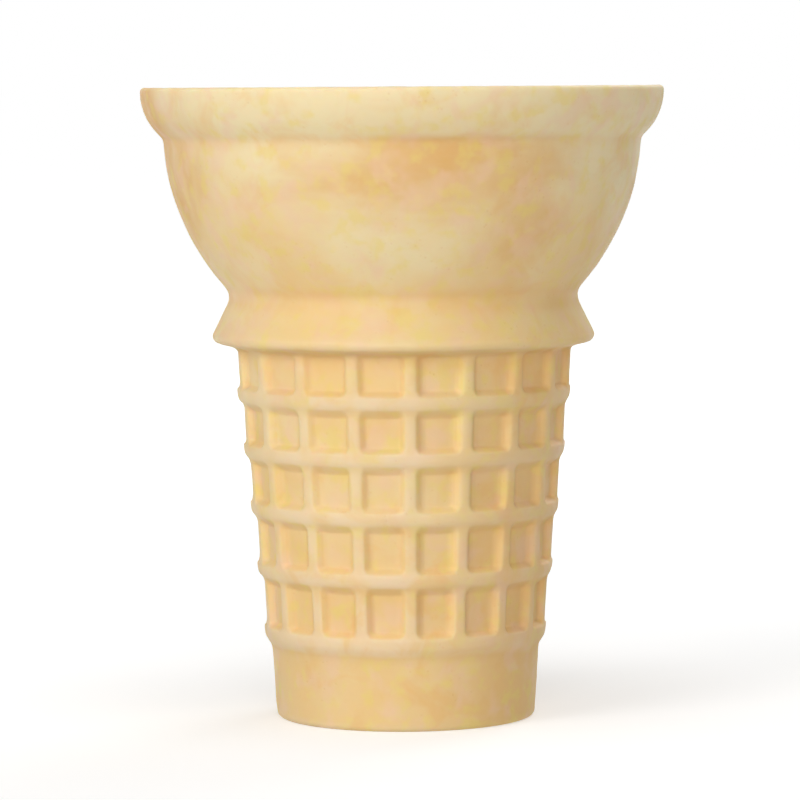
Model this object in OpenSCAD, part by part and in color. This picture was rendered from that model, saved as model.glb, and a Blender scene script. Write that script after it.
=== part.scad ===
// Wafer cup for soft or scooped ice cream: one hollow wafer, baked from batter between an
// outer mould that parts in two halves and a core that is drawn up through the mouth.
// The origin is at the centre of the plane that the foot stands on, and +Z goes up through
// the mouth. All sizes are in millimetres.

/* [Overall] */
// Height from the resting plane to the top of the rim
cup_h = 89; // [74:0.5:107]
// Diameter across the rim
rim_d = 73.7; // [62:0.1:90]
// Outer diameter of the straight neck under the bowl
neck_d = 49.1; // [41:0.1:54]
// Diameter of the foot where its side meets the lower corner
foot_d = 36.6; // [32:0.1:44]

/* [Rim band] */
// Height of the thick band round the mouth
band_h = 7; // [5.8:0.1:8.4]
// How far the rim's edge stands out from the bowl's widest circle
band_out = 3.2; // [2.6:0.1:4]
// Radius of the band's rounded outer face
band_round = 8.4; // [7.6:0.1:11.5]
// Wall thickness at the top of the rim
rim_wall = 2.9; // [2.4:0.1:3.4]
// Radius of the rim's outer and inner edges
rim_round = 0.6; // [0.3:0.1:0.9]
// Height of the step inside the mouth above the band's lower edge
mouth_rise = 0.5; // [0.2:0.1:1.5]
// How far that step widens the mouth
mouth_step = 1.7; // [0.8:0.1:2]

/* [Bowl and neck] */
// Depth from the rim to the top of the neck
bowl_depth = 28.7; // [24:0.1:33]
// Wall thickness of the bowl and the neck
bowl_wall = 2.2; // [1.7:0.1:2.7]
// Width of the eased inner edges where the bowl, the seat step and the well meet
edge_ease = 0.5; // [0.3:0.1:1]

/* [Collar] */
// How far the collar's nose stands out from the neck
collar_out = 2.4; // [1.6:0.1:3.6]
// Depth of the nose below the top of the neck
collar_drop = 6.3; // [5.2:0.1:8]
// Radius of the nose
nose_round = 1; // [0.5:0.1:1.2]
// Angle of the collar's upper face from the vertical
flare_angle = 27; // [22:1:38]
// Angle at which the collar's underside falls towards the wall
under_angle = 13; // [6:1:24]
// Height of the seat step inside above the top of the waffle
seat_rise = 3.2; // [2.2:0.1:4.2]
// Radius where the neck meets the seat step inside
seat_round = 0.5; // [0.4:0.1:1]

/* [Waffle wall] */
// How far the waffle's outline lies inside the neck where it meets the collar
waffle_in = 0.3; // [0:0.05:1]
// Number of rings, with a row of cells above each
ring_count = 5; // [3:1:7]
// Height of each row of cells as a multiple of the row above it
row_growth = 1.058; // [1:0.002:1.12]
// Width of a ring's crest
ring_w = 1.6; // [1.2:0.1:2.2]
// How far a ring stands out from the ribs that end on it from above
ring_proud = 0.15; // [0.1:0.05:0.5]
// How much further in the top of a row lies than its bottom, beyond the lean of the wall
row_step = 0.35; // [0:0.05:0.6]
// Height of the steep flank above a ring's crest
ring_upper = 0.6; // [0.3:0.05:0.8]
// Height of the sloping flank under a ring's crest
ring_lower = 1.3; // [0.5:0.05:1.6]
// Number of upright ribs round the wall
rib_count = 18; // [12:1:22]
// Width of a rib's crest
rib_w = 1.7; // [1.2:0.1:2.2]
// Width of each flank of a rib
rib_flank = 0.55; // [0.3:0.05:0.8]
// Depth of the cells below the crests of the ribs
cell_depth = 1; // [0.6:0.05:1.2]
// Least wall thickness behind the cells
well_wall = 1.7; // [1.4:0.1:2.3]

/* [Foot] */
// Height of the plain foot under the lowest ring
foot_h = 10.2; // [8:0.1:14]
// How far the lowest ring stands out from the top of the foot
foot_in = 0.95; // [0.5:0.05:1.4]
// Angle at which the foot's side leans in towards the bottom
foot_draft = 3.4; // [1:0.1:5]
// Radius of the foot's lower outer corner
foot_round = 0.8; // [0.4:0.1:1.2]
// Width of the ring that the foot stands on, with its corner
foot_ring = 3.4; // [2.8:0.1:4.4]
// Depth of the recess under the foot
recess_h = 1.6; // [1:0.1:2.2]
// Thickness of the floor above the recess
floor_t = 2.8; // [2.2:0.1:4]
// Radius of the boss in the middle of the recess
hub_r = 3.6; // [2.6:0.1:5]
// Height of the boss and its spokes above the resting plane
spoke_lift = 0.3; // [0.1:0.1:0.6]
// Width of the spokes
spoke_w = 1.6; // [1:0.1:2.4]

/* [Fins inside] */
// Number of upright fins in the well, with one spoke under each
fin_count = 6; // [4:1:8]
// Thickness of a fin, whose inner edge is round
fin_t = 1.6; // [1.2:0.1:2]
// How far a fin reaches in from the wall at the floor
fin_reach = 3; // [2:0.1:3.8]
// Height above the floor at which a fin has run out into the wall
fin_h = 34; // [22:1:38]
// Radius where the wall of the well meets its floor
floor_round = 1.6; // [0.8:0.1:2.2]

/* [Hidden] */
$fn = 144;

// How far a cut runs past the face that it opens, and a section or a bar into its neighbour
over = 1;
// Angle of the recess's sides from the vertical, which frees it from its mould
recess_draft = 12;
// Direction of the first rib, the first fin and the first spoke: the front, along -Y
front = -90;

rim_r = rim_d / 2;
neck_r = neck_d / 2;
foot_r = foot_d / 2;
bowl_r = rim_r - band_out;

// Heights from the top down to the collar
band_z = cup_h - band_h;
edge_z = cup_h - rim_round;
neck_z = cup_h - bowl_depth;
nose_z = neck_z - collar_drop;
bowl_z = neck_z + sqrt(bowl_r * bowl_r - neck_r * neck_r);

// The collar's faces are tangent to its nose, a circle round nose_at
nose_at = [neck_r + collar_out - nose_round, nose_z];
nose_top = nose_at + nose_round * [cos(flare_angle), sin(flare_angle)];
nose_under = nose_at + nose_round * [sin(under_angle), -cos(under_angle)];
flare_z = nose_top[1] + (nose_top[0] - neck_r) / tan(flare_angle);

// The waffle runs from the collar's underside down to the lowest ring's lower edge
waffle_r = neck_r - waffle_in;
waffle_z = nose_under[1] - (nose_under[0] - waffle_r) * tan(under_angle);
foot_top_r = foot_r + (foot_h - foot_round) * tan(foot_draft);
low_ring_z = foot_h + ring_lower;
waffle_slope = (waffle_r - foot_top_r - foot_in) / (waffle_z - low_ring_z);

// Radius of the ring crests and of the well inside them at a height
function ring_r(z) = waffle_r - (waffle_z - z) * waffle_slope;
function well_r(z) = ring_r(z) - ring_proud - row_step - cell_depth - well_wall;

// The rows of cells grow downwards in a geometric series that fills the waffle's height.
// Row i ends below at crest_z(i), the top of ring i, and above at row_top(i)
function series(n) = n == 0 ? 0 : series(n - 1) + pow(row_growth, n - 1);
first_row = (waffle_z - low_ring_z - ring_count * ring_w) / series(ring_count);
function crest_z(i) = waffle_z - first_row * series(i + 1) - i * ring_w;
function row_top(i) = i == 0 ? waffle_z : crest_z(i - 1) - ring_w;

// Radius of the rib crests and of the cell floors of row i at a height: they stand more
// upright than the wall, so that each ring overhangs the row under it
function rib_r(i, z) = ring_r(z) - ring_proud
    - row_step * (z - crest_z(i)) / (row_top(i) - crest_z(i));
function cell_r(i, z) = rib_r(i, z) - cell_depth;

// How far a rib runs into a ring, which stays short of the ring's middle
rib_bed = ring_w / 3;

// Sizes inside, where the bowl meets the neck at throat_z and the mouth's step at step_z
bowl_in_r = bowl_r - bowl_wall;
neck_in_r = neck_r - bowl_wall;
throat_z = bowl_z - sqrt(pow(bowl_in_r, 2) - pow(neck_in_r + edge_ease, 2));
step_z = band_z + mouth_rise;
step_r = sqrt(pow(bowl_in_r, 2) - pow(max(bowl_z - step_z, 0), 2));
mouth_r = rim_r - rim_wall;
seat_z = waffle_z + seat_rise;
floor_z = recess_h + floor_t;
recess_r = foot_r - foot_ring;

// A slice of a ball of this radius between two heights, straight above its widest circle
module ball_slice(r, low, high) {
    intersection() {
        translate([0, bowl_z]) circle(r);
        translate([0, low]) square([r, min(high, bowl_z) - low]);
    }
    if (high > bowl_z) translate([0, bowl_z]) square([r, high - bowl_z]);
}

// Half section of the foot, with its rounded lower corner
module foot_section() {
    polygon([
        [0, foot_round], [foot_r, foot_round], [foot_top_r, foot_h],
        [foot_top_r, low_ring_z], [0, low_ring_z],
    ]);
    square([foot_r - foot_round, 2 * foot_round]);
    translate([foot_r - foot_round, foot_round]) circle(foot_round);
}

// Outline of one ring from its lower flank up to its upper one
function ring_outline(i) = let (top = crest_z(i), low = top - ring_w, last = i == ring_count - 1)
    [
        last ? [foot_top_r, foot_h] : [cell_r(i + 1, low - ring_lower), low - ring_lower],
        [ring_r(low), low],
        [ring_r(top), top],
        [cell_r(i, top + ring_upper), top + ring_upper],
    ];

// Half section of the wall at the cell floors, with its rings
module waffle_section() {
    rings = [for (i = [ring_count - 1 : -1 : 0]) each ring_outline(i)];
    top_z = waffle_z + over;
    polygon(concat([[0, foot_h]], rings, [[cell_r(0, top_z), top_z], [0, top_z]]));
}

// Half section of the neck and the collar
module collar_section() {
    polygon([
        [0, waffle_z], [waffle_r, waffle_z], nose_under, nose_at, nose_top,
        [neck_r, flare_z], [neck_r, neck_z + over], [0, neck_z + over],
    ]);
    translate(nose_at) circle(nose_round);
}

// Half section of the rim band: a round face below, an eased edge on top
module band_section() {
    intersection() {
        translate([rim_r - band_round, edge_z]) circle(band_round);
        translate([0, band_z]) square([rim_r, edge_z - band_z]);
    }
    translate([0, band_z]) square([rim_r - band_round, edge_z - band_z]);
    translate([0, edge_z - rim_round]) square([rim_r - rim_round, 2 * rim_round]);
    translate([rim_r - rim_round, edge_z]) circle(rim_round);
}

// The cup as a solid of revolution, without its ribs and its hollows
module outer_form() {
    rotate_extrude() {
        foot_section();
        waffle_section();
        collar_section();
        ball_slice(bowl_r, neck_z - over, edge_z);
        band_section();
    }
}

// One upright rib of row i: a bar with sloping flanks that leans with its row, from inside
// the ring below up into the ring or the collar above
module rib(i) {
    low = crest_z(i) - rib_bed;
    high = row_top(i) + (i == 0 ? over : rib_bed);
    tilt = atan((rib_r(i, high) - rib_r(i, low)) / (high - low));
    crest = cell_depth * cos(tilt);
    root_w = rib_w / 2 + rib_flank;
    translate([cell_r(i, low), 0, low]) rotate([0, tilt, 0]) linear_extrude((high - low) / cos(tilt))
        polygon([
            [-over, -root_w], [0, -root_w], [crest, -rib_w / 2],
            [crest, rib_w / 2], [0, root_w], [-over, root_w],
        ]);
}

// Half section of the mouth above the bowl, with the step inside the band and an eased rim
module mouth_section() {
    polygon([
        [0, step_z], [step_r, step_z], [step_r + mouth_step, step_z + mouth_step],
        [mouth_r, edge_z], [0, edge_z],
    ]);
    difference() {
        translate([0, edge_z]) square([mouth_r + rim_round, rim_round]);
        translate([mouth_r + rim_round, edge_z]) circle(rim_round);
    }
    translate([0, cup_h]) square([mouth_r + rim_round, over]);
}

// Half section of the neck inside, down to the seat step
module throat_section() {
    polygon([
        [0, seat_z + seat_round], [neck_in_r, seat_z + seat_round], [neck_in_r, throat_z - edge_ease],
        [neck_in_r + edge_ease, throat_z], [neck_in_r + edge_ease, throat_z + over],
        [0, throat_z + over],
    ]);
    translate([0, seat_z]) square([neck_in_r - seat_round, 2 * seat_round]);
    translate([neck_in_r - seat_round, seat_z + seat_round]) circle(seat_round);
}

// Half section of the well inside the waffle wall, with its rounded lower corner
module well_section() {
    low_z = floor_z + floor_round;
    low_r = well_r(low_z);
    polygon([
        [0, low_z], [low_r, low_z], [well_r(seat_z - edge_ease), seat_z - edge_ease],
        [well_r(seat_z) + edge_ease, seat_z], [well_r(seat_z) + edge_ease, seat_z + seat_round],
        [0, seat_z + seat_round],
    ]);
    translate([0, floor_z]) square([low_r - floor_round, 2 * floor_round]);
    translate([low_r - floor_round, low_z]) circle(floor_round);
}

// One upright fin: a bar with a round inner edge that leans out until the wall takes it in
module fin() {
    foot_at = well_r(floor_z) - fin_reach;
    lean = atan((well_r(floor_z + fin_h) - foot_at) / fin_h);
    length = (fin_h + 2 * over) / cos(lean);
    translate([foot_at, 0, floor_z]) rotate([0, lean, 0]) translate([fin_t / 2, 0, -over])
        linear_extrude(length) {
            circle(fin_t / 2);
            translate([0, -fin_t / 2]) square([fin_reach + 2 * over, fin_t]);
        }
}

// The hollow inside, less the fins that stand in it
module inner_hollow() {
    difference() {
        rotate_extrude() {
            mouth_section();
            ball_slice(bowl_in_r, throat_z, edge_z);
            throat_section();
            well_section();
        }
        for (i = [0 : fin_count - 1]) rotate([0, 0, front + i * 360 / fin_count]) fin();
    }
}

// The recess under the foot, less the boss and the spokes that stiffen the floor
module foot_recess() {
    spread = tan(recess_draft);
    difference() {
        translate([0, 0, -over])
            cylinder(h = recess_h + over, r1 = recess_r + over * spread, r2 = recess_r - recess_h * spread);
        translate([0, 0, spoke_lift]) cylinder(h = recess_h, r = hub_r);
        for (i = [0 : fin_count - 1]) rotate([0, 0, front + i * 360 / fin_count])
            translate([0, -spoke_w / 2, spoke_lift]) cube([foot_r, spoke_w, recess_h]);
    }
}

// The whole cup, which is one baked wafer
module wafer_cup() {
    color([0.93, 0.81, 0.58]) difference() {
        union() {
            outer_form();
            for (k = [0 : rib_count - 1]) rotate([0, 0, front + k * 360 / rib_count])
                for (i = [0 : ring_count - 1]) rib(i);
        }
        inner_hollow();
        foot_recess();
    }
}

wafer_cup();
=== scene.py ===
"""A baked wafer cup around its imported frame: one moulded shell of wafer, its finish and a plain
studio.

The file is laid out as an add-on and run as a script. Sizes are in metres, +Z is up along the
cup's axis, and the front is -Y.
"""

import math

import bpy
import numpy as np
from mathutils import Matrix, Vector


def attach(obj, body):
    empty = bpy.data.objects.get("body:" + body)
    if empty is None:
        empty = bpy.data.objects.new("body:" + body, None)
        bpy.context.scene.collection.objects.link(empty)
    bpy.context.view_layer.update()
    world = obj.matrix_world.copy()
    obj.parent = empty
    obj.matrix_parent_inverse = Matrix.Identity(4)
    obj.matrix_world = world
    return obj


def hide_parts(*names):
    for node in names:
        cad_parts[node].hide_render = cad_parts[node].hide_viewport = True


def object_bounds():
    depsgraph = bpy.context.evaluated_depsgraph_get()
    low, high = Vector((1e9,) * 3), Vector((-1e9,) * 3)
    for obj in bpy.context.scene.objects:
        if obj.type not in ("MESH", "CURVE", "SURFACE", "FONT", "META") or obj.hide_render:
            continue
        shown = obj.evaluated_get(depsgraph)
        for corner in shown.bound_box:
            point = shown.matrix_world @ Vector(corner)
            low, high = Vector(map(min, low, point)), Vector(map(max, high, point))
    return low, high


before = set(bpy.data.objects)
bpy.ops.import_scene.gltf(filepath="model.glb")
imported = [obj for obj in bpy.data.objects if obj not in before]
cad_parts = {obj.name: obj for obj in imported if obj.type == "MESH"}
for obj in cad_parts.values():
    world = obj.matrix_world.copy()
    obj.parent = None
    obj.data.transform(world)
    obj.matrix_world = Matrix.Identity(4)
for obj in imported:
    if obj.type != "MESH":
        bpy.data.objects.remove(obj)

bl_info = {
    "name": "Wafer cup",
    "version": (1, 0, 0),
    "blender": (4, 5, 0),
    "location": "3D View > Sidebar > Wafer cup",
    "description": "Models a baked wafer cup, its finish and a plain studio",
    "category": "Mesh",
}

MM = 0.001
CUP = "baked_wafer_cup"
CAD_NODE = "wafer_cup"
LAMP_WIDTH, LAMP_DISTANCE = 0.5, 1.0
TINY = 1e-9
CAD_LOW, CAD_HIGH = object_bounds()


def linear(red, green, blue):
    """A colour given as 0 to 255 on the screen, as the linear values that the shader takes."""
    c = np.array([red, green, blue]) / 255
    return tuple(np.where(c <= 0.04045, c / 12.92, ((c + 0.055) / 1.055) ** 2.4))


# ---------- Sizes and colours that a user would change ----------


def length(name, description, millimetres):
    """A length property, given in millimetres and held in metres."""
    return bpy.props.FloatProperty(
        name=name,
        description=description,
        default=millimetres * MM,
        min=0.0,
        unit="LENGTH",
        subtype="DISTANCE",
        precision=5,
    )


def degrees(name, description, value):
    """An angle property, given in degrees and held in radians."""
    return bpy.props.FloatProperty(
        name=name, description=description, default=math.radians(value), subtype="ANGLE"
    )


def number(name, description, value, unit="NONE"):
    """A plain number, or one with a unit."""
    return bpy.props.FloatProperty(name=name, description=description, default=value, unit=unit)


def integer(name, description, value, least):
    """A whole number with a least value."""
    return bpy.props.IntProperty(name=name, description=description, default=value, min=least)


def share(name, description, value):
    """A plain factor from 0 to 1."""
    return bpy.props.FloatProperty(
        name=name, description=description, default=value, min=0, max=1, subtype="FACTOR"
    )


def colour(name, description, *screen):
    """A colour property, given as 0 to 255 on the screen."""
    return bpy.props.FloatVectorProperty(
        name=name,
        description=description,
        default=linear(*screen),
        min=0,
        max=1,
        size=3,
        subtype="COLOR",
    )


class WaferSizes(bpy.types.PropertyGroup):
    """Driving sizes of the cup, the same as the CAD part's."""

    cup_h: length(
        "Height",
        "Height from the resting plane to the top of the rim",
        (CAD_HIGH.z - CAD_LOW.z) / MM,
    )
    rim_d: length("Rim", "Diameter across the rim", (CAD_HIGH.x - CAD_LOW.x) / MM)
    neck_d: length("Neck", "Outer diameter of the straight neck under the bowl", 49.1)
    foot_d: length("Foot", "Diameter of the foot above its rounded corner", 36.6)
    band_h: length("Band height", "Height of the thick band round the mouth", 7.0)
    band_out: length("Band overhang", "How far the rim's edge stands out from the bowl", 3.2)
    band_round: length("Band roundness", "Radius of the band's rounded outer face", 8.4)
    rim_wall: length("Rim wall", "Wall thickness at the top of the rim", 2.9)
    rim_round: length("Rim edge", "Radius of the rim's outer and inner edges", 0.6)
    mouth_rise: length("Mouth step height", "Height of the step in the mouth above the band", 0.5)
    mouth_step: length("Mouth step width", "How far that step widens the mouth", 1.7)
    bowl_depth: length("Bowl depth", "Depth from the rim to the top of the neck", 28.7)
    bowl_wall: length("Bowl wall", "Wall thickness of the bowl and the neck", 2.2)
    edge_ease: length("Eased edges", "Width of the eased edges inside", 0.5)
    collar_out: length("Collar overhang", "How far the collar's nose stands out from the neck", 2.4)
    collar_drop: length("Collar drop", "Depth of the collar's nose below the top of the neck", 6.3)
    nose_round: length("Collar nose", "Radius of the collar's nose", 1.0)
    waffle_in: length("Waffle inset", "How far the waffle lies inside the neck", 0.3)
    ring_w: length("Ring width", "Width of a ring's crest", 1.6)
    ring_proud: length("Ring height", "How far a ring stands out from the ribs above it", 0.15)
    row_step: length("Row step", "How far in a row's top lies beyond the wall's own lean", 0.35)
    ring_upper: length("Ring upper flank", "Height of the flank above a ring", 0.6)
    ring_lower: length("Ring lower flank", "Height of the flank under a ring", 1.3)
    rib_w: length("Rib width", "Width of a rib's crest", 1.7)
    rib_flank: length("Rib flank", "Width of each flank of a rib", 0.55)
    cell_depth: length("Cell depth", "Depth of the cells below the crests of the ribs", 1.0)
    well_wall: length("Well wall", "Least wall thickness behind the cells", 1.7)
    foot_h: length("Foot height", "Height of the plain foot", 10.2)
    foot_in: length("Foot inset", "How far the lowest ring stands out from the foot", 0.95)
    foot_round: length("Foot corner", "Radius of the foot's lower corner", 0.8)
    foot_ring: length("Foot ring", "Width of the ring that the foot stands on", 3.4)
    recess_h: length("Recess depth", "Depth of the recess under the foot", 1.6)
    floor_t: length("Floor", "Thickness of the floor above the recess", 2.8)
    hub_r: length("Boss radius", "Radius of the boss in the recess", 3.6)
    spoke_lift: length("Boss height", "Height of the boss and spokes above the resting plane", 0.3)
    spoke_w: length("Spoke width", "Width of the spokes", 1.6)
    seat_rise: length("Seat rise", "Height of the seat step inside above the waffle", 3.2)
    seat_round: length("Seat corner", "Radius of the corner at the seat step", 0.5)
    fin_t: length("Fin thickness", "Thickness of a fin in the well", 1.6)
    fin_reach: length("Fin reach", "How far a fin reaches in at the floor", 3.0)
    fin_h: length("Fin height", "Height at which a fin has run out into the wall", 34.0)
    floor_round: length("Floor corner", "Radius where the well's wall meets its floor", 1.6)
    row_growth: number("Row growth", "Each row's height as a multiple of the row above it", 1.058)
    ring_count: integer("Rings", "Number of rings on the waffle wall", 5, 3)
    rib_count: integer("Ribs", "Number of upright ribs", 18, 8)
    fin_count: integer("Fins", "Number of fins in the well", 6, 3)
    flare_angle: degrees("Collar flare", "Angle of the collar's upper face from the vertical", 27)
    under_angle: degrees(
        "Collar underside", "Angle at which the collar's underside falls towards the wall", 13
    )
    foot_draft: degrees("Foot draft", "Angle at which the foot's side leans in downwards", 3.4)
    waviness: length("Waviness", "How far the baked surface wanders from its mould", 0.05)
    seam_h: length("Mould line", "Height of the line where the halves of the mould met", 0.09)


class WaferFinish(bpy.types.PropertyGroup):
    """Colours and texture of the baked wafer."""

    cream: colour("Cream", "Palest parts of the wafer, such as the band", 246, 231, 187)
    straw: colour("Straw", "Colour of most of the wafer", 243, 213, 152)
    # Honey is also the painted shade on the right of the wall.
    honey: colour("Honey", "Warmer patches and the foot", 240, 198, 132)
    # The toast colour is also the painted shade in the hollows, under the band, down the left side
    # and in the pores.
    toast: colour("Toast", "Hollows and corners that baked darker", 228, 173, 92)
    lemon: colour("Yellow flecks", "The yellower of the small flecks", 240, 217, 124)
    rose: colour("Rosy flecks", "The rosier of the small flecks", 246, 207, 176)
    roughness: share("Roughness", "How dull the skin of the wafer is", 0.55)
    patches: length("Patches", "Size of the pale and warm patches", 8.0)
    flecks: length("Flecks", "Size of the small yellow and rosy flecks", 1.3)
    grain: length("Grain", "Size of the fine grain in the skin", 0.35)
    pores: length("Pores", "Mean distance between the pores", 1.1)
    relief: length("Grain depth", "Depth of the grain in the skin", 0.04)


class WaferStudio(bpy.types.PropertyGroup):
    """Camera, lamps and floor."""

    distance: number("Distance", "Distance from the cup's axis, in multiples of its height", 6.94)
    lens: number("Lens", "Focal length in millimetres", 197.0, "CAMERA")
    tilt: degrees("Tilt", "How far the camera looks down", 4.100)
    roll: degrees("Roll", "How far the camera is turned about its own axis", -0.36)
    turn: degrees("Turn", "How far round the cup from its front the camera and lamps stand", -2.2)
    key: number("Key lamp", "Power of the lamp at the left in watts", 3.4, "POWER")
    front: number("Front lamp", "Power of the lamp in front in watts", 2.95, "POWER")
    top: number("Top lamp", "Power of the lamp overhead in watts", 2.1, "POWER")
    back: number("Back lamp", "Power of the lamp behind in watts", 2.2, "POWER")
    ambient: number("Ambient", "Strength of the light from all round", 0.28)
    bounce: number("Bounce", "Strength of the light up from the floor", 0.51)


# ---------- The section of the cup ----------


class Derived:
    """Sizes that follow from the driving ones, in millimetres, with the CAD part's names."""

    def __init__(self, sizes):
        for name in WaferSizes.__annotations__:
            value = getattr(sizes, name)
            unit = WaferSizes.bl_rna.properties[name].unit
            setattr(self, name, value / MM if unit == "LENGTH" else value)
        self.rim_r, self.neck_r, self.foot_r = self.rim_d / 2, self.neck_d / 2, self.foot_d / 2
        self.bowl_r = self.rim_r - self.band_out
        self.band_z = self.cup_h - self.band_h
        self.edge_z = self.cup_h - self.rim_round
        self.neck_z = self.cup_h - self.bowl_depth
        self.bowl_z = self.neck_z + math.sqrt(self.bowl_r**2 - self.neck_r**2)
        nose_r = self.neck_r + self.collar_out - self.nose_round
        self.nose = np.array([nose_r, self.neck_z - self.collar_drop])
        self.nose_top = self.nose + self.nose_round * self.turn(self.flare_angle)
        self.nose_under = self.nose + self.nose_round * self.turn(self.under_angle - math.pi / 2)
        flare_out = self.nose_top[0] - self.neck_r
        self.flare_z = self.nose_top[1] + flare_out / math.tan(self.flare_angle)
        self.waffle_r = self.neck_r - self.waffle_in
        under_out = self.nose_under[0] - self.waffle_r
        self.waffle_z = self.nose_under[1] - under_out * math.tan(self.under_angle)
        self.foot_top_r = self.foot_r + (self.foot_h - self.foot_round) * math.tan(self.foot_draft)
        self.low_ring_z = self.foot_h + self.ring_lower
        lean = self.waffle_r - self.foot_top_r - self.foot_in
        self.slope = lean / (self.waffle_z - self.low_ring_z)
        rows = sum(self.row_growth**k for k in range(self.ring_count))
        self.first_row = (self.waffle_z - self.low_ring_z - self.ring_count * self.ring_w) / rows
        over_ball = self.band_round - self.band_out
        band_drop = math.sqrt(self.band_round**2 - over_ball**2)
        self.band_low_z = self.edge_z - min(self.band_h - self.rim_round, band_drop)
        self.bowl_in_r = self.bowl_r - self.bowl_wall
        self.neck_in_r = self.neck_r - self.bowl_wall
        throat_r = self.neck_in_r + self.edge_ease
        self.throat_z = self.bowl_z - math.sqrt(self.bowl_in_r**2 - throat_r**2)
        self.step_z = self.band_z + self.mouth_rise
        self.step_r = math.sqrt(self.bowl_in_r**2 - max(self.bowl_z - self.step_z, 0) ** 2)
        self.mouth_r = self.rim_r - self.rim_wall
        self.seat_z = self.waffle_z + self.seat_rise
        self.floor_z = self.recess_h + self.floor_t
        self.recess_r = self.foot_r - self.foot_ring

    @staticmethod
    def turn(angle):
        """The unit vector at this angle in the section's plane."""
        return np.array([math.cos(angle), math.sin(angle)])

    def ring_r(self, z):
        """Radius of the ring crests at a height: a cone from the collar down to the foot."""
        return self.waffle_r - (self.waffle_z - z) * self.slope

    def well_r(self, z):
        """Radius of the well's wall at a height."""
        return self.ring_r(z) - self.ring_proud - self.row_step - self.cell_depth - self.well_wall

    def crest_z(self, i):
        """Height of the upper edge of ring i, below rows that grow in a geometric series."""
        rows = sum(self.row_growth**k for k in range(i + 1))
        return self.waffle_z - self.first_row * rows - i * self.ring_w

    def rib_r(self, z):
        """Radius of the rib crests at a height: in each row a straight line from ring_proud inside
        the ring crests at the row's bottom to row_step further in at its top."""
        low = np.array([self.crest_z(i) for i in range(self.ring_count)])
        high = np.concatenate([[self.waffle_z], low[:-1] - self.ring_w])
        heights = np.column_stack([low, high])[::-1].ravel()
        depth = np.tile([self.ring_proud, self.ring_proud + self.row_step], self.ring_count)
        return self.ring_r(z) - np.interp(z, heights, depth)

    def ring_feet(self, i):
        """How far the flanks of ring i run below and above its crest before they meet the ribs:
        the part of each flank's height that its drop to the rib crests is of its whole drop."""
        step_below = 0 if i == self.ring_count - 1 else self.row_step
        drops = [self.ring_proud + step_below, self.ring_proud]
        flanks = [self.ring_lower, self.ring_upper]
        return [flank * drop / (drop + self.cell_depth) for flank, drop in zip(flanks, drops)]


def arc(centre, radius, start, end, count=40):
    """Points centre + radius * (cos a, sin a) for angles a from start to end."""
    a = np.linspace(start, end, count)
    return np.column_stack([centre[0] + radius * np.cos(a), centre[1] + radius * np.sin(a)])


def ring_outline(d, i):
    """Corners of ring i from its lower flank up to its upper one, as (radius, height). The flanks
    run on to the rib crests above and below the ring, or to the top of the foot."""
    top = d.crest_z(i)
    low = top - d.ring_w
    below, above = d.ring_feet(i)
    start = (d.rib_r(low - below), low - below)
    if i == d.ring_count - 1:
        start = (d.foot_top_r, d.foot_h)
    return [start, (d.ring_r(low), low), (d.ring_r(top), top), (d.rib_r(top + above), top + above)]


def section_corners(d):
    """The half section as one open line of (radius, height) points: from the middle of the
    underside out to the foot, up the wall to the rim, and down the inside to the floor's middle."""
    quarter = math.pi / 2
    recess_draft = math.radians(12)
    recess_in = d.recess_h * math.tan(recess_draft)
    ledge, band_steps, bowl_steps = 0.35, 80, 160
    rings = [point for i in reversed(range(d.ring_count)) for point in ring_outline(d, i)]
    rim_centre = (d.rim_r - d.band_round, d.edge_z)
    band_low = math.asin((d.band_low_z - d.edge_z) / d.band_round)
    neck_out = -math.acos(d.neck_r / d.bowl_r)
    band_up = math.asin(np.clip((d.band_low_z - d.bowl_z) / d.bowl_r, -1, 0))
    step_at = math.asin(np.clip((d.step_z - d.bowl_z) / d.bowl_in_r, -1, 0))
    throat_at = math.asin((d.throat_z - d.bowl_z) / d.bowl_in_r)
    low_z = d.floor_z + d.floor_round
    low_r = d.well_r(low_z)
    well_z = d.seat_z - d.edge_ease
    parts = [
        [(0, d.spoke_lift), (d.hub_r, d.spoke_lift), (d.hub_r, d.recess_h)],
        [(d.recess_r - recess_in, d.recess_h), (d.recess_r, 0)],
        arc((d.foot_r - d.foot_round, d.foot_round), d.foot_round, -quarter, 0),
        rings,
        [(d.rib_r(d.waffle_z - ledge), d.waffle_z - ledge), (d.waffle_r, d.waffle_z)],
        arc(d.nose, d.nose_round, d.under_angle - quarter, d.flare_angle),
        [(d.neck_r, d.flare_z)],
        arc((0, d.bowl_z), d.bowl_r, neck_out, band_up, bowl_steps),
        arc(rim_centre, d.band_round, band_low, 0, band_steps),
        arc((d.rim_r - d.rim_round, d.edge_z), d.rim_round, 0, quarter),
        arc((d.mouth_r + d.rim_round, d.edge_z), d.rim_round, quarter, 2 * quarter),
        [(d.step_r + d.mouth_step, d.step_z + d.mouth_step), (d.step_r, d.step_z)],
        arc((0, d.bowl_z), d.bowl_in_r, step_at, throat_at, bowl_steps),
        [(d.neck_in_r, d.throat_z - d.edge_ease)],
        arc((d.neck_in_r - d.seat_round, d.seat_z + d.seat_round), d.seat_round, 0, -quarter),
        [(d.well_r(d.seat_z) + d.edge_ease, d.seat_z), (d.well_r(well_z), well_z)],
        arc((low_r - d.floor_round, low_z), d.floor_round, 0, -quarter),
        [(0, d.floor_z)],
    ]
    return np.concatenate([np.asarray(part, float).reshape(-1, 2) for part in parts])


def bell_average(values, reach):
    """Averages a line of values with the weights exp(-(k / reach)^2 / 2), k steps away. The line
    goes on past its ends as its own point reflection, so the ends stay where they are."""
    furthest = int(4 * reach)
    k = np.arange(-furthest, furthest + 1)
    weight = np.exp(-0.5 * (k / reach) ** 2)
    padded = np.pad(values, furthest, mode="reflect", reflect_type="odd")
    return np.convolve(padded, weight / weight.sum(), mode="valid")


def along(points):
    """Distance along an open line of points, from its start."""
    return np.concatenate([[0], np.cumsum(np.hypot(*np.diff(points, axis=0).T))])


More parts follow.
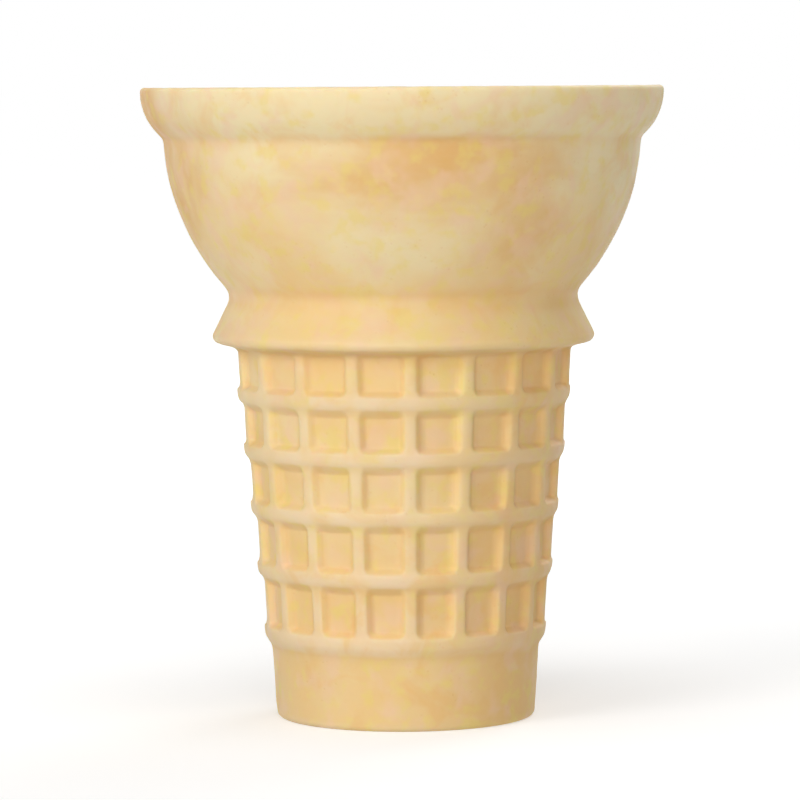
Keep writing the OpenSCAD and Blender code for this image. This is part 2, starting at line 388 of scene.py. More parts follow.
def evenly(points, step):
    """The same line with its points a fixed step apart."""
    s = along(points)
    t = np.linspace(0, s[-1], int(s[-1] / step) + 1)
    return np.column_stack([np.interp(t, s, points[:, 0]), np.interp(t, s, points[:, 1])])


def smooth_step(x, low, high):
    """3 t^2 - 2 t^3, where t goes from 0 at low to 1 at high."""
    t = np.clip((x - low) / (high - low), 0, 1)
    return t * t * (3 - 2 * t)


def averaged(line, reach):
    """A line of points with each coordinate bell-averaged along it, over reach points."""
    return np.column_stack([bell_average(coordinate, reach) for coordinate in line.T])


def eased_section(d, step=0.02):
    """The half section with every corner eased by a bell-shaped average along the line: narrow
    on most of it, wider on the rings and under the collar, and widest under the band and on the
    neck, the throat and the seat. Returns the line and how deep each point lies in a small and
    in a wide hollow: the distance out from the point to an average of the line, which is
    positive in a hollow and negative on a crest."""
    most_reach, fade_reach, small_reach, wide_reach = 0.15, 0.5, 0.8, 2.6
    foot_lap, collar_gap, near_collar, near_band = 1.0, 0.8, 0.7, 1.6
    neck_drop, near_neck, neck_lap = 1.0, 3.4, 3.0
    line = evenly(section_corners(d), step)
    r, z = line.T
    outer = np.arange(len(line)) < np.argmax(z)
    rings = outer & (z > d.foot_h - foot_lap) & (z < d.waffle_z - collar_gap)
    under_collar = outer & (np.abs(z - d.waffle_z) < near_collar) & (r < d.neck_r + near_collar)
    under_band = outer & (np.abs(z - d.band_low_z) < near_band)
    neck = (np.abs(z - d.neck_z + neck_drop) < near_neck) & (r > d.neck_in_r - neck_lap)
    eased = averaged(line, most_reach / step)
    for place, reach in ((rings, 0.4), (under_collar, 0.45), (under_band, 0.6), (neck, 0.7)):
        share_of_it = bell_average(place.astype(float), fade_reach / step)[:, None]
        eased = eased + (averaged(line, reach / step) - eased) * share_of_it
    run = np.gradient(eased, axis=0)
    normal = np.column_stack([run[:, 1], -run[:, 0]]) / np.hypot(*run.T)[:, None]
    hollows = [
        ((averaged(eased, reach / step) - eased) * normal).sum(axis=1)
        for reach in (small_reach, wide_reach)
    ]
    return eased, hollows


def crowded(s, density, count):
    """count positions along s, each pair the same integral of density apart."""
    total = np.concatenate([[0], np.cumsum((density[1:] + density[:-1]) / 2 * np.diff(s))])
    return np.interp(np.linspace(0, total[-1], count), total, s)


def row_positions(line, count):
    """Places along the section for the mesh's rows: they crowd in proportion to the curvature,
    and lie closer on the outside than on the inside and the underside."""
    underside_run = 16
    outside_rows, other_rows, rows_per_bend, bend_reach = 0.62, 0.3, 3.0, 6
    s = along(line)
    heading = np.unwrap(np.arctan2(*np.gradient(line, axis=0).T[::-1]))
    curvature = np.abs(np.gradient(heading, s))
    outside = (np.arange(len(s)) < np.argmax(line[:, 1])) & (s > underside_run)
    level = np.where(outside, outside_rows, other_rows)
    return crowded(s, level + rows_per_bend * bell_average(curvature, bend_reach), count)


def column_angles(d, per_rib=20):
    """Angles of the mesh's columns, in radians: they crowd on the flanks of the ribs, and a few
    more stand beside the two mould lines at +X and -X."""
    flank_at, flank_reach, crowding, samples = 2.6, 1.0, 2.0, 2001
    half = 180 / d.rib_count
    offset = np.linspace(-half, half, samples)
    density = 1 + crowding * np.exp(-(((np.abs(offset) - flank_at) / flank_reach) ** 2))
    one = crowded(offset, density, per_rib + 1)[:-1]
    ribs = -90 + np.arange(d.rib_count) * 2 * half
    seam = np.array([-0.75, -0.38, 0.38, 0.75])
    every = np.concatenate([(ribs[:, None] + one[None, :]).ravel(), seam, 180 + seam])
    return np.radians(np.unique(np.round(every % 360, 4)))


def beside(angle, count):
    """Angle from the nearest of count directions that start at the front, in radians."""
    pitch = 2 * math.pi / count
    return (angle + math.pi / 2 + pitch / 2) % pitch - pitch / 2


def waves(points, size, seed, count=40):
    """A wandering field between about -1 and 1: the mean of count sine waves of random
    direction, phase and length near size, at every point."""
    shortest, longest = 0.7, 1.5
    rng = np.random.default_rng(seed)
    way = rng.normal(size=(count, 3))
    way /= np.linalg.norm(way, axis=1)[:, None]
    way *= (2 * math.pi / (size * rng.uniform(shortest, longest, count)))[:, None]
    phase = rng.uniform(0, 2 * math.pi, count)
    return np.sin(points @ way.T + phase).sum(axis=-1) / math.sqrt(count)


# ---------- The cup ----------


def cells(d, z, lateral, corner=1.0, ease=0.27):
    """How deep each point lies in a cell of the waffle, from 0 on the crests to 1 on the floors,
    and how near it lies to the foot of a cell's flank, from 0 to 1 at a cell's sides and less at
    its ends. A cell's outline is a rectangle whose corners are round: its distance inwards is
    corner - |(a, b)|, where a and b are how much nearer than corner the point lies to the cell's
    side and to its end. The depth is a smooth step of that distance over the flank, which is as
    wide as the flanks of the ribs and rings."""
    collar_flank, foot_reach = 0.3, 0.4
    lower_end, upper_end = 0.1, 0.3
    depth, edge = 0.0, 0.0
    side = lateral - d.rib_w / 2
    for i in range(d.ring_count):
        above = d.ring_feet(i)[1]
        top, flank = d.waffle_z, collar_flank
        if i > 0:
            below = d.ring_feet(i - 1)[0]
            top, flank = d.crest_z(i - 1) - d.ring_w - below, d.ring_lower - below
        up, down = z - d.crest_z(i) - above, top - z
        end = np.minimum(up, down)
        end_flank = np.where(up < down, d.ring_upper - above, flank)
        a, b = np.maximum(corner - side, 0), np.maximum(corner - end, 0)
        inwards = np.where(a + b > 0, corner - np.hypot(a, b), corner)
        square = np.maximum(a * a + b * b, TINY)
        width = np.where(a + b > 0, (a * a * d.rib_flank + b * b * end_flank) / square, d.rib_flank)
        depth = np.maximum(depth, smooth_step(inwards, -ease, width + ease))
        strength = (a * a + b * b * np.where(up < down, lower_end, upper_end)) / square
        edge = np.maximum(edge, strength * np.exp(-(((inwards - width) / foot_reach) ** 2)))
    return depth, edge


def toward(start, end, stand_in, rows):
    """Points on the line stand_in, at the same share of the way from its start to its end as
    the rows between start and end have along the section, and a mask of those rows."""
    s = along(stand_in)
    at = np.clip((rows - start) / (end - start), 0, 1) * s[-1]
    points = np.column_stack([np.interp(at, s, stand_in[:, 0]), np.interp(at, s, stand_in[:, 1])])
    return points, (rows > start) & (rows < end)


def fins(d, line, s, at, r, beside_fin):
    """Fins in the well, from the place where they run out of the wall to the floor inside them.
    Returns how far each point moves towards the nose of a fin, as a share that falls off beside
    the fin, and each row's point on that nose."""
    nose_flat, nose_reach, inner_fade, outer_fade = 1.4, 20, 0.35, 0.45
    fine_step, floor_gap = 0.02, 0.2
    inner = s > s[int(np.argmax(line[:, 1]))]
    r_in, z_in = line[inner].T
    nose_r = d.well_r(d.floor_z) - d.fin_reach
    top_z = d.floor_z + d.fin_h
    start = s[inner][np.argmax(z_in < top_z)]
    end = s[inner][np.argmax((z_in < d.floor_z + floor_gap) & (r_in < nose_r - nose_flat))]
    corners = [(d.well_r(top_z), top_z), (nose_r, d.floor_z), (nose_r - nose_flat, d.floor_z)]
    nose_line = averaged(evenly(np.array(corners), fine_step), nose_reach)
    nose, on_fin = toward(start, end, nose_line, at)
    lateral = np.maximum(r, nose_r)[:, None] * np.sin(beside_fin)[None, :]
    beyond = smooth_step(lateral, d.fin_t / 2 - inner_fade, d.fin_t / 2 + outer_fade)
    return (1 - beyond) * on_fin[:, None], nose


def spokes(d, line, s, at, r, beside_spoke):
    """Spokes in the recess, between the boss and the recess's wall. Returns how far each point
    moves to the face of a spoke, as a share that falls off beside the spoke, and each row's
    point on that face."""
    hub_lap, wall_lap, inner_fade, outer_fade, least_r = 0.35, 1.2, 0.2, 0.3, 0.1
    start = s[np.argmax(line[:, 0] > d.hub_r - hub_lap)]
    end = s[np.argmax((line[:, 0] > d.recess_r - wall_lap) & (line[:, 1] < d.spoke_lift))]
    ends = [(d.hub_r - hub_lap, d.spoke_lift), (np.interp(end, s, line[:, 0]), d.spoke_lift)]
    face, on_spoke = toward(start, end, np.array(ends), at)
    lateral = np.maximum(r, least_r)[:, None] * np.sin(beside_spoke)[None, :]
    beyond = smooth_step(lateral, d.spoke_w / 2 - inner_fade, d.spoke_w / 2 + outer_fade)
    return (1 - beyond) * on_spoke[:, None], face


def baked_skin(d, points, outside):
    """The points after baking. Each sinks along its normal by waviness * (1 + a wandering sum of
    long and short waves), and nothing at the foot. On the outside a line with a bell-shaped
    section stands out where the two halves of the mould met, at +X and -X. No point passes the
    rim's radius, the resting plane or the cup's height."""
    long_wave, short_wave, long_share, short_share = 11.0, 3.2, 0.55, 0.45
    calm_h, seam_w, seam_low, seam_full = 1.2, 0.2, 1.0, 2.0
    round_way = np.roll(points, -1, axis=1) - np.roll(points, 1, axis=1)
    out = np.cross(round_way, np.gradient(points, axis=0))
    out /= np.linalg.norm(out, axis=-1)[..., None] + TINY
    _, y, z = np.moveaxis(points, -1, 0)
    drift = 1 + long_share * waves(points, long_wave, seed=3)
    drift = drift + short_share * waves(points, short_wave, seed=4)
    sink = d.waviness * drift * smooth_step(z, 0.0, calm_h)
    seam = d.seam_h * np.exp(-((y / seam_w) ** 2))
    seam = seam * outside * smooth_step(z, seam_low, seam_full)
    points = points - out * sink[..., None] + out * seam[..., None]
    radius = np.hypot(points[..., 0], points[..., 1])
    points[..., :2] *= np.minimum(1, d.rim_r / np.maximum(radius, TINY))[..., None]
    points[..., 2] = np.clip(points[..., 2], 0, d.cup_h)
    return points


def cup_surface(d, rows=262):
    """The cup's skin as a grid: rows follow the half section, columns go round the axis.

    A point is (r cos a, r sin a, z). Its r and z come from the eased section, which carries the
    rings and the crests of the ribs, and on the waffle wall r sinks by the depth of the cells.
    In the well and in the recess a point moves from the section towards the nose of a fin or
    the face of a spoke. Last comes the wandering of a baked skin. Returns the points, how deep
    each lies in a small and in a wide hollow, and the heights of the two poles."""
    cell_edge_hollow, cell_floor_hollow, crest_bulge, least_bulge = 0.24, 0.24, 0.17, 0.1
    line, hollows = eased_section(d)
    peak = int(np.argmax(line[:, 1]))
    outer = np.arange(len(line)) < peak
    mid_cell = d.ring_r(line[:, 1]) * math.sin(math.pi / d.rib_count)
    sunk = cells(d, line[:, 1], mid_cell)[0] * d.cell_depth * outer
    carved = line - np.column_stack([sunk, 0 * outer])
    s = along(carved)
    at = row_positions(carved, rows)
    r, z = np.interp(at, s, line[:, 0]), np.interp(at, s, line[:, 1])
    small, wide = (np.interp(at, s, hollow)[:, None] for hollow in hollows)
    angle = column_angles(d)
    outside = (at < s[peak])[:, None]

    # Cells, whose edges and floors are hollows, between crests that bulge. The material darkens
    # the hollows, partly as toast and partly as painted shade, and paints a highlight on the
    # crests.
    lateral = d.ring_r(z)[:, None] * np.sin(np.abs(beside(angle, d.rib_count)))[None, :]
    depth, edge = cells(d, z[:, None], lateral)
    rr = r[:, None] - d.cell_depth * depth * outside
    zz = np.repeat(z[:, None], len(angle), axis=1)
    waffle = outside & ((z > d.low_ring_z - d.ring_lower) & (z < d.waffle_z))[:, None]
    small = np.where(waffle, small, np.maximum(small, -least_bulge))
    small = small + cell_edge_hollow * edge * outside - crest_bulge * (1 - depth) * waffle
    wide = wide + cell_floor_hollow * depth * outside

    # Fins and spokes, which stand one above the other
    beside_fin = np.abs(beside(angle, d.fin_count))
    for moved, goal in (f(d, line, s, at, r, beside_fin) for f in (fins, spokes)):
        rr += moved * (goal[:, 0] - r)[:, None]
        zz += moved * (goal[:, 1] - z)[:, None]

    points = np.stack([rr * np.cos(angle), rr * np.sin(angle), zz], axis=-1)
    points = baked_skin(d, points, outside)
    return points[1:-1], small[1:-1], wide[1:-1], (line[0, 1], line[-1, 1])


def lattice_mesh(name, points, poles):
    """A closed mesh from a grid of points that is joined round its columns: a quad between each
    four neighbours, and a fan of triangles from a point on the axis to the first and last row."""
    rows, columns = points.shape[:2]
    index = np.arange(rows * columns).reshape(rows, columns)
    beyond = np.roll(index, -1, axis=1)
    quads = np.stack([index[:-1], beyond[:-1], beyond[1:], index[1:]], axis=-1).reshape(-1, 4)
    low, high = rows * columns, rows * columns + 1
    first = np.stack([np.full(columns, low), beyond[0], index[0]], axis=-1)
    last = np.stack([np.full(columns, high), index[-1], beyond[-1]], axis=-1)
    fans = np.concatenate([first, last])
    ends = np.array([[0, 0, poles[0]], [0, 0, poles[1]]])
    vertices = np.concatenate([points.reshape(-1, 3), ends]) * MM
    corners = np.concatenate([quads.ravel(), fans.ravel()])
    sizes = np.concatenate([np.full(len(quads), 4), np.full(len(fans), 3)])
    starts = np.concatenate([[0], np.cumsum(sizes)[:-1]])
    mesh = bpy.data.meshes.new(name)
    mesh.vertices.add(len(vertices))
    mesh.vertices.foreach_set("co", vertices.ravel())
    mesh.loops.add(len(corners))
    mesh.loops.foreach_set("vertex_index", corners.astype(np.int32))
    mesh.polygons.add(len(sizes))
    mesh.polygons.foreach_set("loop_start", starts.astype(np.int32))
    mesh.polygons.foreach_set("use_smooth", np.ones(len(sizes), bool))
    mesh.update(calc_edges=True)
    if mesh.validate():
        raise RuntimeError(f"{name} had faces that don't hold together")
    return mesh


def point_values(mesh, name, grid):
    """Stores one number for each point of a grid mesh, and 0 for its two poles."""
    values = np.concatenate([grid.ravel(), [0, 0]]).astype(np.float32)
    mesh.attributes.new(name, "FLOAT", "POINT").data.foreach_set("value", values)


# ---------- Materials ----------


class Nodes:
    """Adds nodes to one node tree and links them."""

    def __init__(self, tree):
        self.tree = tree
        tree.nodes.clear()

    def add(self, kind, inputs=None, **settings):
        """A node with its settings, and its inputs set or linked by name or number."""
        node = self.tree.nodes.new(kind)
        for key, value in settings.items():
            setattr(node, key, value)
        for key, value in (inputs or {}).items():
            self.put(node.inputs[key], value)
        return node

    def put(self, socket, value):
        """Links an output to this input, or sets it."""
        if isinstance(value, bpy.types.NodeSocket):
            self.tree.links.new(value, socket)
        else:
            socket.default_value = value

    def math(self, operation, a, b=0.0, c=0.0, clamp=False):
        """One arithmetic step."""
        node = self.add("ShaderNodeMath", {0: a, 1: b, 2: c}, operation=operation, use_clamp=clamp)
        return node.outputs[0]

    def span(self, value, low, high, out_low=0.0, out_high=1.0):
        """Carries low..high smoothly to out_low..out_high, and holds the ends."""
        inputs = {"Value": value, "From Min": low, "From Max": high}
        inputs |= {"To Min": out_low, "To Max": out_high}
        node = self.add("ShaderNodeMapRange", inputs, interpolation_type="SMOOTHSTEP")
        return node.outputs["Result"]

    def noise(self, place, size, detail=2.0, rough=0.5, warp=0.0):
        """A noise whose lumps are about size metres across."""
        inputs = {"Vector": place, "Scale": 0.5 / size, "Detail": detail}
        inputs |= {"Roughness": rough, "Distortion": warp}
        return self.add("ShaderNodeTexNoise", inputs).outputs["Fac"]

    def vector(self, operation, a, b=(0.0, 0.0, 0.0)):
        """One step of vector arithmetic, with its node."""
        return self.add("ShaderNodeVectorMath", {0: a, 1: b}, operation=operation)

    def spot(self, place, centre, reach, flatness=1.0):
        """A soft round spot about a place, 1 in its middle and 0 beyond reach, with an uneven
        edge; flatness is how many times as wide as high it is."""
        lump, unevenness, full = 0.35, 1.4, 0.2
        scale = (1.0, 1.0, flatness)
        there = tuple(c * s for c, s in zip(centre, scale))
        place = self.vector("MULTIPLY", place, scale).outputs["Vector"]
        away = self.vector("DISTANCE", place, there).outputs["Value"]
        wander = self.math("SUBTRACT", self.noise(place, reach * lump, 3.0, 0.6), 0.5)
        away = self.math("MULTIPLY_ADD", wander, reach * unevenness, away)
        return self.span(away, reach, reach * full)

    def seen(self):
        """1 for what the camera sees, directly or in a mirror or glass, and 0 for what lights."""
        path = self.add("ShaderNodeLightPath").outputs
        seen = self.math("MAXIMUM", path["Is Glossy Ray"], path["Is Transmission Ray"])
        return self.math("MAXIMUM", path["Is Camera Ray"], seen)

    def mix(self, share_of_b, a, b):
        """A colour between a and b."""
        node = self.add("ShaderNodeMix", data_type="RGBA")
        for key, value in (("Factor", share_of_b), ("A", a), ("B", b)):
            socket = node.inputs[key]
            if socket.type == "RGBA" and not isinstance(value, bpy.types.NodeSocket):
                value = (*value, 1.0)
            self.put(socket, value)
        return next(o for o in node.outputs if o.type == "RGBA")


# Spots on the bowl, in metres. Each spot has its middle, its reach, how many times as wide as
# high it is, its share of cream or of the toast colour and, if dark, the height it ends at. The
# pale spot is a paler patch low on the bowl in front. The first dark spot lies under the band and
# the next two are its darker parts: they are partly toast and partly painted shade under the
# band's overhang. The fourth is a darker spot low on the right, and the last, down the left
# side, is painted shade.
PALE_SPOT = ((-0.002, -0.031, 0.0675), 0.019, 1.6, 0.55)
BAND_EDGE, NO_EDGE = 0.0832, 1.0
TOAST_AND_SHADE_SPOTS = (
    ((0.004, -0.033, 0.0775), 0.026, 3.0, 0.5, BAND_EDGE),
    ((-0.001, -0.0335, 0.0785), 0.010, 1.4, 0.4, BAND_EDGE),
    ((0.009, -0.033, 0.0808), 0.009, 2.8, 0.5, BAND_EDGE),
    ((0.0157, -0.0275, 0.0710), 0.009, 0.7, 0.42, BAND_EDGE),
    ((-0.0395, -0.004, 0.0800), 0.019, 0.8, 0.8, NO_EDGE),
)


def batter_colour(n, finish, place, warm):
    """Colour of the wafer's flat parts: straw, mixed with cream by half the patches plus the
    nearness to the rim, then with honey by the warm patches plus the nearness to the foot and a
    painted shade towards the lower right. Then come the spots on the bowl, some of them painted
    shade, and small flecks of two hues."""
    patch_share, rim_share, warm_share, right_share = 0.5, 0.85, 0.45, 0.5
    foot_shares, lemon_share, rose_share, edge_fade = (0.15, 0.6), 0.5, 0.45, 0.0014
    patch_edge, warm_edge, fleck_edge = (0.36, 0.66), (0.46, 0.74), (0.48, 0.70)
    near_rim, near_foot = (0.066, 0.082), (0.052, 0.004)
    on_right, on_wall = (0.0, 0.02), (0.058, 0.05)
    across, _, height = n.add("ShaderNodeSeparateXYZ", {"Vector": place}).outputs
    straw, cream, honey = tuple(finish.straw), tuple(finish.cream), tuple(finish.honey)

    patch = n.span(n.noise(place, finish.patches, 3.0, 0.55, warp=0.4), *patch_edge)
    rim = n.span(height, *near_rim, 0.0, rim_share)
    base = n.mix(n.math("MULTIPLY_ADD", patch, patch_share, rim, clamp=True), straw, cream)
    foot = n.span(height, *near_foot, *foot_shares)
    # Painted shade: the wall turns towards honey on its right, the side away from the key lamp.
    right = n.span(across, *on_right, 0.0, right_share)
    low = n.math("ADD", foot, n.math("MULTIPLY", right, n.span(height, *on_wall)))
    warmth = n.math("MULTIPLY_ADD", n.span(warm, *warm_edge), warm_share, low, clamp=True)
    base = n.mix(warmth, base, honey)

    centre, reach, flatness, cream_share = PALE_SPOT
    light = n.math("MULTIPLY", n.spot(place, centre, reach, flatness), cream_share)
    base = n.mix(light, base, cream)
    # Dark spots in the toast colour: under the band partly toast and partly painted shade, down the
    # left side painted shade.
    for centre, reach, flatness, dark_share, edge in TOAST_AND_SHADE_SPOTS:
        below = n.span(height, edge, edge - edge_fade, 0.0, dark_share)
        brown = n.math("MULTIPLY", n.spot(place, centre, reach, flatness), below)
        base = n.mix(brown, base, tuple(finish.toast))

    fleck = n.noise(place, finish.flecks)
    other = n.noise(place, finish.flecks * 1.7, warp=0.3)
    base = n.mix(n.span(fleck, *fleck_edge, 0.0, lemon_share), base, tuple(finish.lemon))
    return n.mix(n.span(other, *fleck_edge, 0.0, rose_share), base, tuple(finish.rose))


def relief_colour(n, finish, place, warm, base):
    """The colour base, mixed with the toast colour by an uneven noise times the greater of the two
    hollows, which is partly toast and partly painted shade in creases, cells and corners. Then a
    painted highlight, the mean of cream and rose, by the height of the small crests: it is
    strongest left of the middle, and weaker in warm patches, on the right and at the far left."""
    small_toast_and_shade, wide_toast_and_shade, crest_highlight_share, left_share, right_share = 0.3, 0.3, 0.85, 0.4, 0.35
    small_depth, wide_depth, crest_height = (0.03, 0.34), (0.06, 0.7), (-0.04, -0.24)
    uneven_edge, uneven_shares = (0.3, 0.7), (0.5, 1.0)
    warm_edge, warm_shares = (0.64, 0.4), (0.3, 1.0)
    far_left, on_right = (-0.022, -0.015), (-0.002, 0.006)
    small = n.add("ShaderNodeAttribute", attribute_name="small_hollow").outputs["Fac"]
    wide = n.add("ShaderNodeAttribute", attribute_name="wide_hollow").outputs["Fac"]
    across = n.add("ShaderNodeSeparateXYZ", {"Vector": place}).outputs["X"]

    # Partly toast and partly painted shade in the hollows: the creases, the cells' edges and
    # floors.
    uneven = n.span(n.noise(place, finish.patches * 0.3), *uneven_edge, *uneven_shares)
    crease_toast_and_shade = n.math("MULTIPLY", n.span(small, *small_depth, 0.0, small_toast_and_shade), uneven)
    hollow_toast_and_shade = n.math("MULTIPLY", n.span(wide, *wide_depth, 0.0, wide_toast_and_shade), uneven)
    base = n.mix(n.math("MAXIMUM", crease_toast_and_shade, hollow_toast_and_shade), base, tuple(finish.toast))

    # Painted highlight on the crests, strongest where the key lamp's highlight falls.
    painted_crest_highlight = n.span(small, *crest_height, 0.0, crest_highlight_share)
    for part in (
        n.span(warm, *warm_edge, *warm_shares),
        n.span(across, *far_left, left_share, 1.0),
        n.span(across, *on_right, 1.0, right_share),
    ):
        painted_crest_highlight = n.math("MULTIPLY", painted_crest_highlight, part)
    return n.mix(painted_crest_highlight, base, tuple(np.mean([finish.cream, finish.rose], axis=0)))


def skin(n, finish, place):
    """The wafer's skin: a mask of scattered pores, the normal of the relief, which is the sum of
    the lumps, the grain and the pores times their heights, and a wandering roughness."""
    lump_height, grain_height, pore_depth = 1.1, 0.5, -0.6
    smoother, rougher, dull_edge = 0.08, 0.1, (0.3, 0.7)
    pore_edge, scatter_edge = (0.06, 0.22), (0.46, 0.62)
    inputs = {"Vector": place, "Scale": 1 / finish.pores, "Randomness": 1.0}
    dots = n.add("ShaderNodeTexVoronoi", inputs).outputs["Distance"]
    scattered = n.span(n.noise(place, finish.patches * 0.5, 1.0), *scatter_edge)
    hole = n.math("MULTIPLY", n.span(dots, *pore_edge, 1.0, 0.0), scattered)
    grain = n.math("MULTIPLY", n.noise(place, finish.grain, 3.0, 0.6), grain_height)
    lumps = n.noise(place, finish.flecks * 1.2)
    relief = n.math("MULTIPLY_ADD", lumps, lump_height, grain)
    relief = n.math("MULTIPLY_ADD", hole, pore_depth, relief)
    bump = n.add("ShaderNodeBump", {"Height": relief, "Strength": 1.0, "Distance": finish.relief})
    dull = n.noise(place, finish.flecks * 2)
    rough = n.span(dull, *dull_edge, finish.roughness - smoother, finish.roughness + rougher)
    return hole, bump.outputs["Normal"], rough


def wafer_material(finish):
    """Baked wafer: straw that is paler at the rim and warmer at the foot, with cream and honey
    patches and small yellow and rosy flecks, darker in its hollows, partly toast and partly painted
    shade, with a painted highlight on its crests, and with a fine grain, faint pores darkened by
    painted shade and a dull skin."""
    painted_pore_shade = 0.14
    material = bpy.data.materials.new("baked_wafer")
    material.use_nodes = True
    n = Nodes(material.node_tree)
    place = n.add("ShaderNodeTexCoord").outputs["Object"]
    warm = n.noise(place, finish.patches * 0.4, 3.0, 0.6, warp=0.6)
    base = relief_colour(n, finish, place, warm, batter_colour(n, finish, place, warm))
    hole, normal, rough = skin(n, finish, place)
    # Painted shade in the pores.
    base = n.mix(n.math("MULTIPLY", hole, painted_pore_shade), base, tuple(finish.toast))
    shader = n.add(
        "ShaderNodeBsdfPrincipled",
        {
            "Base Color": base,
            "Roughness": rough,
            "Normal": normal,
            "Specular IOR Level": 0.34,
            "Subsurface Weight": 0.3,
            "Subsurface Radius": (1.0, 0.55, 0.25),
            "Subsurface Scale": 0.002,
        },
    )
    n.add("ShaderNodeOutputMaterial", {"Surface": shader.outputs["BSDF"]})
    return material


def floor_material(studio, lamp_light):
    """A white floor: it shows white to the camera where nothing shades it, lights the cup from
    below as a white table does, and is clear from underneath. Near the cup its own glow is
    weaker by most of what the lamps add there, lamp_light, so that the cup's shadow shows."""
    paint_share, near_share, near_reach = 0.8, 0.92, 0.6
    material = bpy.data.materials.new("white_floor")
    material.use_nodes = True
    n = Nodes(material.node_tree)
    white = (paint_share, paint_share, paint_share, 1.0)
    paint = n.add("ShaderNodeBsdfDiffuse", {"Color": white}).outputs[0]
    away = n.vector("LENGTH", n.add("ShaderNodeTexCoord").outputs["Object"]).outputs["Value"]
    less = n.span(away, 0.0, near_reach, near_share * paint_share * lamp_light, 0.0)
    strength = n.math("SUBTRACT", 1 - paint_share * studio.ambient, less)
    glow = n.add("ShaderNodeEmission", {"Strength": strength}).outputs[0]
    shown = n.add("ShaderNodeAddShader", {0: paint, 1: glow}).outputs[0]
    bounce = n.add("ShaderNodeEmission", {"Strength": studio.bounce}).outputs[0]
    front = n.add("ShaderNodeMixShader", {0: n.seen(), 1: bounce, 2: shown}).outputs[0]
    below = n.add("ShaderNodeNewGeometry").outputs["Backfacing"]
    clear = n.add("ShaderNodeBsdfTransparent").outputs[0]
    either = n.add("ShaderNodeMixShader", {0: below, 1: front, 2: clear}).outputs[0]
    n.add("ShaderNodeOutputMaterial", {"Surface": either})
    return material


def studio_world(ambient):
    """Even white light from all round, and plain white where the camera sees past the floor."""
    world = bpy.data.worlds.new("white_studio")
    world.use_nodes = True
    n = Nodes(world.node_tree)
    strength = n.math("MULTIPLY_ADD", n.seen(), 1 - ambient, ambient)
    light = n.add("ShaderNodeBackground", {"Color": (1.0, 1.0, 1.0, 1.0), "Strength": strength})
    n.add("ShaderNodeOutputWorld", {"Surface": light.outputs[0]})
    return world


# ---------- Operators and panel ----------


class WAFER_OT_cup(bpy.types.Operator):
    """Model the cup as one closed shell of wafer"""

    bl_idname = "wafer.cup"
    bl_label = "Wafer cup"

    def execute(self, context):
        points, small, wide, poles = cup_surface(Derived(context.scene.wafer_sizes))
        mesh = lattice_mesh(CUP, points, poles)
        point_values(mesh, "small_hollow", small)
        point_values(mesh, "wide_hollow", wide)
        cup = bpy.data.objects.new(CUP, mesh)
        context.scene.collection.objects.link(cup)
        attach(cup, "root")
        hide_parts(CAD_NODE)
        return {"FINISHED"}


class WAFER_OT_finish(bpy.types.Operator):
    """Give the cup the finish of baked wafer"""

    bl_idname = "wafer.finish"
    bl_label = "Baked finish"

    def execute(self, context):
        cup = bpy.data.objects[CUP]
        cup.data.materials.clear()
        cup.data.materials.append(wafer_material(context.scene.wafer_finish))
        return {"FINISHED"}


def studio_camera(studio, height, turn):
    """The camera at the rim's height, distance * height from the axis, tilted down and rolled."""
    sensor_width, shift_share = 36, -0.005125
    camera = bpy.data.objects.new("camera", bpy.data.cameras.new("camera"))
    camera.data.lens = studio.lens
    camera.data.sensor_width = sensor_width
    camera.data.shift_x = shift_share
    camera.location = turn @ Vector((0, -studio.distance * height, height))
    aim = turn @ Matrix.Rotation(math.pi / 2 - studio.tilt, 3, "X")
    camera.rotation_euler = (aim @ Matrix.Rotation(studio.roll, 3, "Z")).to_euler()
    return camera


def soft_lamp(name, power, side, up, middle, turn):
    """A round lamp of LAMP_WIDTH at LAMP_DISTANCE from middle, which it faces. It stands side
    degrees to the right of the front and up degrees above middle."""
    data = bpy.data.lights.new(name, "AREA")
    data.energy, data.size, data.shape = power, LAMP_WIDTH, "DISK"
    lamp = bpy.data.objects.new(name, data)
    side, up = math.radians(side), math.radians(up)
    out = math.cos(up)
    way = turn @ Vector((math.sin(side) * out, -math.cos(side) * out, math.sin(up)))
    lamp.location = middle + way * LAMP_DISTANCE
    lamp.rotation_euler = (-way).to_track_quat("-Z", "Y").to_euler()
    lamp.visible_camera = False
    return lamp


def white_floor(studio, lamps):
    """A wide square floor. The lamps' light on a white floor beside the cup is the sum of
    power * sin(up) over (pi * distance)^2."""
    reach = 60.0
    corners = [(-reach, -reach, 0), (reach, -reach, 0), (reach, reach, 0), (-reach, reach, 0)]
    mesh = bpy.data.meshes.new("floor")
    mesh.from_pydata(corners, [], [(0, 1, 2, 3)])
    light = sum(power * math.sin(math.radians(up)) for _, power, _, up in lamps)
    mesh.materials.append(floor_material(studio, light / (math.pi * LAMP_DISTANCE) ** 2))
    return bpy.data.objects.new("floor", mesh)


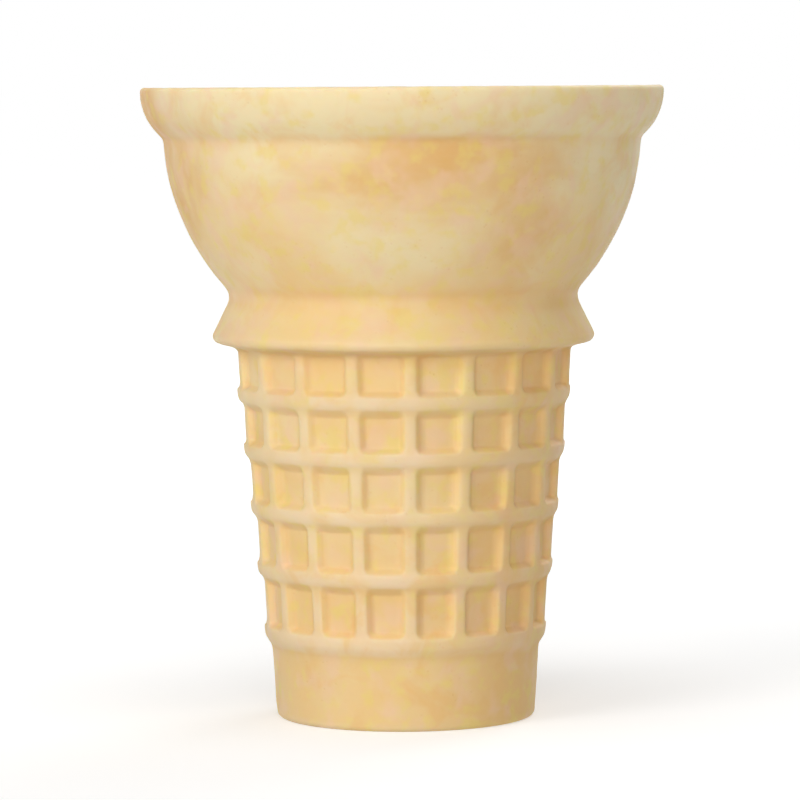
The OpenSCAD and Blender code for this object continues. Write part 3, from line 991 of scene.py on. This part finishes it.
class WAFER_OT_studio(bpy.types.Operator):
    """Set up the camera, the lamps and the white floor"""

    bl_idname = "wafer.studio"
    bl_label = "Studio"

    def execute(self, context):
        scene, studio = context.scene, context.scene.wafer_studio
        height = scene.wafer_sizes.cup_h
        turn = Matrix.Rotation(studio.turn, 3, "Z")
        camera = studio_camera(studio, height, turn)
        scene.collection.objects.link(camera)
        scene.camera = camera

        # Each lamp's name, power, and degrees to the right of the front and up
        lamps = (
            ("key_lamp", studio.key, -46, 20),
            ("front_lamp", studio.front, 0, 12),
            ("top_lamp", studio.top, 0, 78),
            ("back_lamp", studio.back, 150, 38),
        )
        middle = Vector((0, 0, height / 2))
        for lamp in lamps:
            scene.collection.objects.link(soft_lamp(*lamp, middle, turn))

        floor = white_floor(studio, lamps)
        scene.collection.objects.link(floor)
        scene.world = studio_world(studio.ambient)
        scene.view_settings.view_transform = "Standard"
        return {"FINISHED"}


class WAFER_PT_sidebar(bpy.types.Panel):
    """Shows the cup's sizes, its finish and the studio, with the buttons that build them"""

    bl_idname = "WAFER_PT_sidebar"
    bl_label = "Wafer cup"
    bl_space_type = "VIEW_3D"
    bl_region_type = "UI"
    bl_category = "Wafer cup"

    def draw(self, context):
        scene = context.scene
        for group in (scene.wafer_sizes, scene.wafer_finish, scene.wafer_studio):
            box = self.layout.box()
            for name in type(group).__annotations__:
                box.prop(group, name)
        for operator in (WAFER_OT_cup, WAFER_OT_finish, WAFER_OT_studio):
            self.layout.operator(operator.bl_idname)


CLASSES = (
    WaferSizes,
    WaferFinish,
    WaferStudio,
    WAFER_OT_cup,
    WAFER_OT_finish,
    WAFER_OT_studio,
    WAFER_PT_sidebar,
)


def register():
    """Registers the classes and hangs the property groups on the scene."""
    for cls in CLASSES:
        bpy.utils.register_class(cls)
    bpy.types.Scene.wafer_sizes = bpy.props.PointerProperty(type=WaferSizes)
    bpy.types.Scene.wafer_finish = bpy.props.PointerProperty(type=WaferFinish)
    bpy.types.Scene.wafer_studio = bpy.props.PointerProperty(type=WaferStudio)


def unregister():
    """Takes back what register did."""
    del bpy.types.Scene.wafer_studio
    del bpy.types.Scene.wafer_finish
    del bpy.types.Scene.wafer_sizes
    for cls in reversed(CLASSES):
        bpy.utils.unregister_class(cls)


def main():
    """Builds everything in order."""
    register()
    bpy.ops.wafer.cup()
    bpy.ops.wafer.finish()
    bpy.ops.wafer.studio()


if __name__ == "__main__":
    main()
